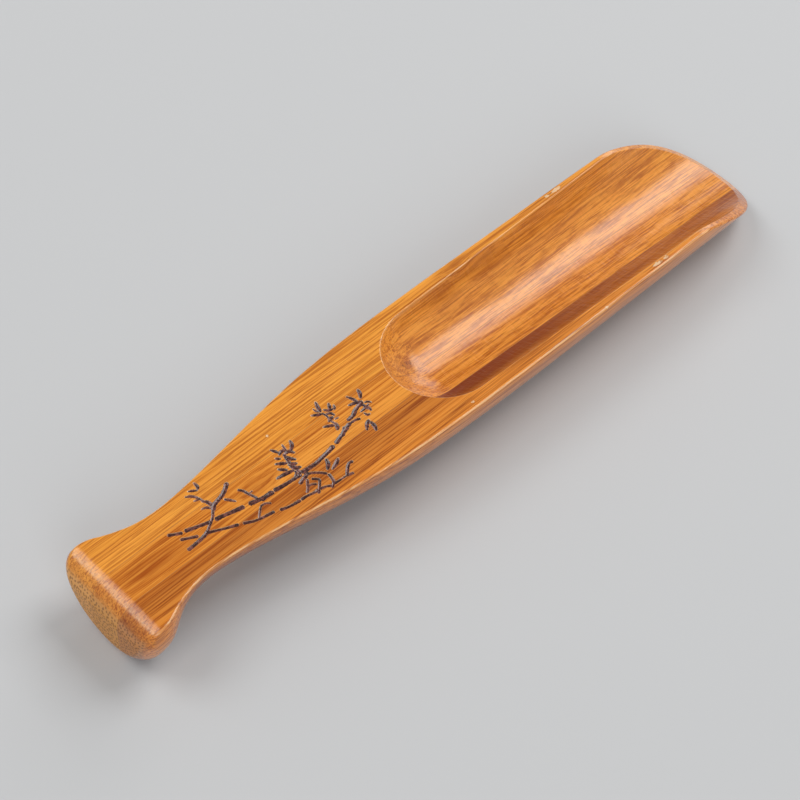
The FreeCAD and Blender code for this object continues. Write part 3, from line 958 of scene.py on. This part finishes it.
@dataclass
class BambooSpray:
    """The spray of bamboo burnt into the handle's flat face.

    It is a traditional ornament: two knotty stems that run towards the bowl,
    with twigs and bunches of narrow leaves. Each mark is a shallow groove.

    flatness: How deep a rod of the cutter is against its width.
    rise: How high a rod's middle lies over the face, as a share of the mark's width.
    spread: How wide a rod is against its mark.
    sides: How finely a rod is rounded.
    tip_reach, tip_share: How far a rod's tips run on, and how thick they end.
    weld_distance: Below this, in millimetres, two corners of a rod count as one.
    """

    flatness: float = 0.75
    rise: float = 0.2
    spread: float = 1.22
    sides: int = 3
    tip_reach: float = 0.3
    tip_share: float = 0.45
    weld_distance: float = 0.0001
    strokes: tuple[Stroke, ...] = (*STEMS, *TWIGS, *LEAVES)

    def cutter(self, face: float) -> bpy.types.Object:
        """Makes the solid that all the grooves are cut with, enlarged.

        Args:
            face: Height of the flat face, in millimetres.

        Returns:
            One mesh of flattened rods that lie across the face.
        """
        rods = [self._rod(stroke, number) for number, stroke in enumerate(self.strokes)]
        cutter = rods[0]
        select_only(cutter)
        for rod in rods[1:]:
            weld = cutter.modifiers.new("weld", "BOOLEAN")
            weld.operation = "UNION"
            weld.object = rod
            weld.solver = "MANIFOLD"
            bpy.ops.object.modifier_apply(modifier=weld.name)
            bpy.data.objects.remove(rod)
        cutter.name = "spray_cutter"
        cutter.data.materials.clear()
        cutter.scale = (1.0, 1.0, self.flatness)
        cutter.location = (0.0, 0.0, face)
        bpy.ops.object.transform_apply(location=True, rotation=True, scale=True)
        return cutter

    def _rod(self, stroke: Stroke, number: int) -> bpy.types.Object:
        """Makes the closed rod that cuts one groove, in millimetres.

        Args:
            stroke: The mark.
            number: Its number in the spray.

        Returns:
            The rod, with narrowed ends.
        """
        bpy.ops.curve.primitive_nurbs_path_add(location=(0.0, 0.0, 0.0))
        rod = bpy.context.object
        rod.name = f"spray_mark_{number:02d}"
        data = rod.data
        data.splines.clear()
        spline = data.splines.new("POLY")
        way = self._smooth(stroke.points)
        thickness = [stroke.swell(index / (len(way) - 1)) for index in range(len(way))]
        reach = self.tip_reach * stroke.width
        for place, beyond, inward in ((0, way[0], way[1]), (len(way) + 1, way[-1], way[-2])):
            way.insert(place, beyond + (beyond - inward).normalized() * reach)
            thickness.insert(place, self.tip_share * thickness[0 if place == 0 else -1])
        spline.points.add(len(way) - 1)
        for point, spot, radius in zip(spline.points, way, thickness):
            point.co = (spot.x, spot.y, self.rise * stroke.width, 1.0)
            point.radius = radius
        data.bevel_depth = stroke.width * self.spread / 2
        data.bevel_resolution = self.sides
        data.use_fill_caps = True
        bpy.ops.object.convert(target="MESH")
        bpy.ops.object.mode_set(mode="EDIT")
        bpy.ops.mesh.select_all(action="SELECT")
        bpy.ops.mesh.remove_doubles(threshold=self.weld_distance)
        bpy.ops.mesh.normals_make_consistent(inside=False)
        bpy.ops.object.mode_set(mode="OBJECT")
        return rod

    @staticmethod
    def _smooth(points: tuple[tuple[float, float], ...], steps: int = 4) -> list[Vector]:
        """Rounds a way by a spline through its points.

        Args:
            points: The points of the way.
            steps: How many steps each span gets.

        Returns:
            More points along the same way.
        """
        given = [Vector(point) for point in points]
        ends = [given[0] * 2 - given[1], *given, given[-1] * 2 - given[-2]]
        out = []
        for a, b, c, d in zip(ends, ends[1:], ends[2:], ends[3:]):
            for step in range(steps):
                t = step / steps
                spot = (b * 2 + (c - a) * t + (a * 2 - b * 5 + c * 4 - d) * t ** 2
                        + (b * 3 - a - c * 3 + d) * t ** 3) / 2
                out.append(spot)
        return [*out, given[-1]]


@dataclass
class Lamination:
    """One strip or one film of glue of the scoop, with the ornament cut in.

    merge_distance: Below this, in millimetres, two corners of the solid's mesh count as one.
    smooth_angle: Edges that turn by fewer degrees are shaded as round.
    flat_share: How nearly upright a face's normal is where it counts as the flat face.
    flat_slack: How far below the top the flat face may lie, in millimetres.
    """

    node: str
    material_slot: str
    finish: Bamboo | WoodGlue
    merge_distance: float = 0.002
    smooth_angle: float = 32.0
    flat_share: float = 0.9999
    flat_slack: float = 0.01

    def build(self, cutter: bpy.types.Object, charred: bpy.types.Material) -> bpy.types.Object:
        """Copies the solid's mesh, cuts the grooves, dresses it and puts it in its place.

        Args:
            cutter: The solid that the grooves are cut with.
            charred: The material of the grooves.

        Returns:
            The finished piece.
        """
        source = frame["nodes"][self.node]
        piece = source.copy()
        piece.data = source.data.copy()
        piece.name = f"{self.node}_carved"
        # The copy isn't the solid itself, so it drops the solid's marks.
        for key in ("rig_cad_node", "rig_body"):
            if key in piece:
                del piece[key]
        bpy.context.scene.collection.objects.link(piece)
        piece.parent = None
        select_only(piece)
        piece.scale = (ENLARGED, ENLARGED, ENLARGED)
        bpy.ops.object.transform_apply(location=True, rotation=True, scale=True)
        bpy.ops.object.mode_set(mode="EDIT")
        bpy.ops.mesh.select_all(action="SELECT")
        bpy.ops.mesh.remove_doubles(threshold=self.merge_distance)
        bpy.ops.mesh.customdata_custom_splitnormals_clear()
        bpy.ops.object.mode_set(mode="OBJECT")
        piece.data.materials.clear()
        piece.data.materials.append(self.finish.build())
        piece.data.materials.append(charred)
        cut = piece.modifiers.new("spray", "BOOLEAN")
        cut.object = cutter
        cut.operation = "DIFFERENCE"
        cut.solver = "MANIFOLD"
        cut.material_mode = "TRANSFER"
        bpy.ops.object.modifier_apply(modifier=cut.name)
        bpy.ops.object.shade_smooth_by_angle(angle=math.radians(self.smooth_angle))
        self._part_grooves(piece)
        self._strengthen_face(piece)
        even = piece.modifiers.new("even_shading", "WEIGHTED_NORMAL")
        even.keep_sharp = True
        even.use_face_influence = True
        bpy.ops.object.modifier_apply(modifier=even.name)
        piece.scale = (1 / ENLARGED, 1 / ENLARGED, 1 / ENLARGED)
        bpy.ops.object.transform_apply(location=True, rotation=True, scale=True)
        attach(piece, "root")
        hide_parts(self.node)
        log.info("%s: %d faces", piece.name, len(piece.data.polygons))
        return piece

    @staticmethod
    def _part_grooves(piece: bpy.types.Object) -> None:
        """Marks the rims of the grooves as sharp, so that the face round them stays flat."""
        piece.active_material_index = len(piece.data.materials) - 1
        bpy.ops.object.mode_set(mode="EDIT")
        bpy.ops.mesh.select_all(action="DESELECT")
        bpy.ops.mesh.select_mode(type="FACE")
        bpy.ops.object.material_slot_select()
        bpy.ops.mesh.region_to_loop()
        bpy.ops.mesh.mark_sharp()
        bpy.ops.object.mode_set(mode="OBJECT")

    def _strengthen_face(self, piece: bpy.types.Object) -> None:
        """Lets the flat face alone set the shading of its outline, so that it shines like a plane."""
        bpy.ops.object.mode_set(mode="EDIT")
        bpy.ops.mesh.select_mode(type="FACE")
        bpy.ops.mesh.select_all(action="DESELECT")
        bpy.ops.object.mode_set(mode="OBJECT")
        top = max(vertex.co.z for vertex in piece.data.vertices)
        for polygon in piece.data.polygons:
            polygon.select = polygon.normal.z > self.flat_share and polygon.center.z > top - self.flat_slack
        bpy.ops.object.mode_set(mode="EDIT")
        bpy.ops.mesh.mod_weighted_strength(set=True, face_strength="STRONG")
        bpy.ops.object.mode_set(mode="OBJECT")


@dataclass(frozen=True)
class SoftBox:
    """A square soft box that looks at the scoop.

    direction: Where it hangs, seen from the scoop.
    away: How far away it hangs, in millimetres.
    size: Its side in millimetres.
    watts: Its power.
    """

    name: str
    direction: tuple[float, float, float]
    away: float
    size: float
    watts: float

    def hang(self) -> None:
        """Hangs the soft box."""
        aim = Vector(self.direction).normalized()
        bpy.ops.object.light_add(type="AREA", location=aim * mm(self.away))
        lamp = bpy.context.object
        lamp.name = self.name
        lamp.data.size = mm(self.size)
        lamp.data.energy = self.watts
        lamp.rotation_mode = "QUATERNION"
        lamp.rotation_quaternion = (-aim).to_track_quat("-Z", "Y")


SOFT_BOXES = (
    SoftBox("left_soft_box", (-0.34, 0.45, 0.82), 1300.0, 700.0, 5.0),
    SoftBox("right_soft_box", (0.60, -0.10, 0.79), 1500.0, 850.0, 11.5),
    SoftBox("back_soft_box", (0.82, 0.40, 0.42), 1500.0, 700.0, 4.2),
    SoftBox("near_soft_box", (-0.42, -0.72, 0.55), 1500.0, 800.0, 4.9),
)


@dataclass
class Studio:
    """The paper floor, the light and the camera, in millimetres.

    target, towards_camera, distance: Where the camera looks, and where it stands from there.
    nearest, farthest: The distances that the camera sees.
    black_flag: Where the room is dark, so that the flat face mirrors no light.
    room_light: Strength of the room's light, which fades to next to nothing at the flag.
    """

    target: tuple[float, float, float] = (-14.73, -3.97, 16.5)
    towards_camera: tuple[float, float, float] = (-0.4041, -0.4364, 0.8039)
    distance: float = 490.9
    lens: float = 108.0
    sensor: float = 36.0
    nearest: float = 10.0
    farthest: float = 20000.0
    floor_size: float = 6000.0
    black_flag: tuple[float, float, float] = (0.40, 0.44, 0.80)
    room_light: Fade = Fade(0.6, 0.9, 0.47, 0.05)
    paper: BackdropPaper = BackdropPaper()

    def lay_floor(self) -> None:
        """Lays the paper under the scoop, which isn't part of the object."""
        bpy.ops.object.select_all(action="DESELECT")
        bpy.ops.mesh.primitive_plane_add(size=mm(self.floor_size), location=(0.0, 0.0, 0.0))
        floor = bpy.context.object
        floor.name = "paper_floor"
        floor.data.materials.append(self.paper.build())
        floor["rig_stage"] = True

    def light(self) -> None:
        """Hangs the soft boxes and sets the even light of the room."""
        for soft_box in SOFT_BOXES:
            soft_box.hang()
        world = bpy.data.worlds.new("room")
        world.use_nodes = True
        tree = world.node_tree
        way = add_node(tree, "ShaderNodeTexCoord").outputs["Generated"]
        flag = add_node(tree, "ShaderNodeVectorMath", {"operation": "DOT_PRODUCT"},
                        {0: way, 1: Vector(self.black_flag).normalized()}).outputs["Value"]
        tree.links.new(self.room_light.over(tree, flag), tree.nodes["Background"].inputs["Strength"])
        tree.nodes["Background"].inputs["Color"].default_value = linear("FFFFFF")
        bpy.context.scene.world = world

    def set_camera(self) -> None:
        """Puts the camera where the photograph was taken from."""
        back = Vector(self.towards_camera).normalized()
        target = Vector([mm(part) for part in self.target])
        bpy.ops.object.camera_add(location=target + back * mm(self.distance))
        camera = bpy.context.object
        camera.rotation_mode = "QUATERNION"
        camera.rotation_quaternion = (-back).to_track_quat("-Z", "Y")
        camera.data.lens = self.lens
        camera.data.sensor_width = self.sensor
        camera.data.clip_start = mm(self.nearest)
        camera.data.clip_end = mm(self.farthest)
        bpy.context.scene.camera = camera


def select_only(piece: bpy.types.Object) -> None:
    """Selects one object and makes it the active one."""
    bpy.ops.object.select_all(action="DESELECT")
    piece.select_set(True)
    bpy.context.view_layer.objects.active = piece


def box_size() -> dict[str, list[float]]:
    """Gives the object's box as plain lists, in metres."""
    low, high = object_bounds()
    return {"low": list(low), "high": list(high)}


LAMINATIONS = (
    Lamination("strip_left", "bamboo_light", Bamboo(
        "carbonised bamboo, left strip", light="E9983A", base="DC8B30", dark="A4561A", pale="F4A843",
        end_grain="DA9C54", right_side=3.7, width=12.4, crowd_right=0.5, crowd_left=0.45, clouded=0.55, seed=1.7,
        eyes=(GrainEye(18.4, 15.1, 3.6, 1.9, 1.5, 1.0), GrainEye(-3.7, 5.6, 2.0, 1.1, 0.7, 1.0),
              GrainEye(12.0, 12.2, 5.0, 1.8, 0.5, 0.75), GrainEye(26.0, 12.0, 6.0, 1.5, 0.4, 0.65)),
        chips=(Chip(49.3, 14.9, 16.4, 1.6, 0.5), Chip(46.4, 14.9, 16.4, 0.8, 0.4),
               Chip(-40.7, 7.6, 16.5, 0.4, 0.35)),
        tears=(Tear(-3.9, 5.9, 3.0, 1.5, 0.75), Tear(-1.0, 8.4, 2.2, 0.9, 0.5)))),
    Lamination("strip_middle", "bamboo_middle", Bamboo(
        "carbonised bamboo, middle strip", light="E29137", base="D5812B", dark="9A4608", pale="EFA040",
        end_grain="D0924A", right_side=-4.7, width=8.4, crowd_right=0.47, crowd_left=0.4, clouded=0.25, seed=5.3,
        eyes=(GrainEye(-50.5, 0.0, 5.0, 1.8, 1.6), GrainEye(-77.0, -0.4, 9.0, 2.6, 0.6, 0.8),
              GrainEye(-64.0, -2.6, 7.0, 1.2, 0.3)))),
    Lamination("strip_right", "bamboo_dark", Bamboo(
        "carbonised bamboo, right strip", light="DD872F", base="CE7826", dark="83380C", pale="E59740",
        end_grain="C08149", end_dots="6F4724", right_side=-16.1, width=11.4, crowd_right=0.35, crowd_left=0.5,
        clouded=0.25, seed=9.1, stain_and_shade_left=0.97,
        chips=(Chip(50.3, -14.7, 16.4, 1.3, 0.45), Chip(52.9, -14.7, 16.3, 0.8, 0.5),
               Chip(51.8, -14.9, 16.2, 1.3, 0.25), Chip(-4.1, -14.4, 16.5, 0.4, 0.3),
               Chip(33.8, -15.6, 16.2, 0.6, 0.35)))),
    Lamination("glue_line_left", "wood_glue", WoodGlue("dried wood glue, left")),
    Lamination("glue_line_right", "wood_glue", WoodGlue("dried wood glue, right")),
)


def main() -> None:
    """Builds and dresses the scoop, then sets the studio round it."""
    logging.basicConfig(level=logging.INFO, format="%(name)s: %(message)s")
    sizes = {"frame": box_size()}
    bpy.ops.object.select_all(action="DESELECT")
    face = sizes["frame"]["high"][2]
    charred = CharredGroove().build()
    spray = BambooSpray()
    cutter = spray.cutter(face * ENLARGED)
    cutter.data.materials.append(charred)
    log.info("spray: %d marks", len(spray.strokes))
    for lamination in LAMINATIONS:
        lamination.build(cutter, charred)
    bpy.data.objects.remove(cutter)

    studio = Studio()
    studio.lay_floor()
    studio.light()
    studio.set_camera()
    scene = bpy.context.scene
    scene.view_settings.view_transform = "Standard"
    sizes["finished"] = box_size()


if __name__ == "__main__":
    main()
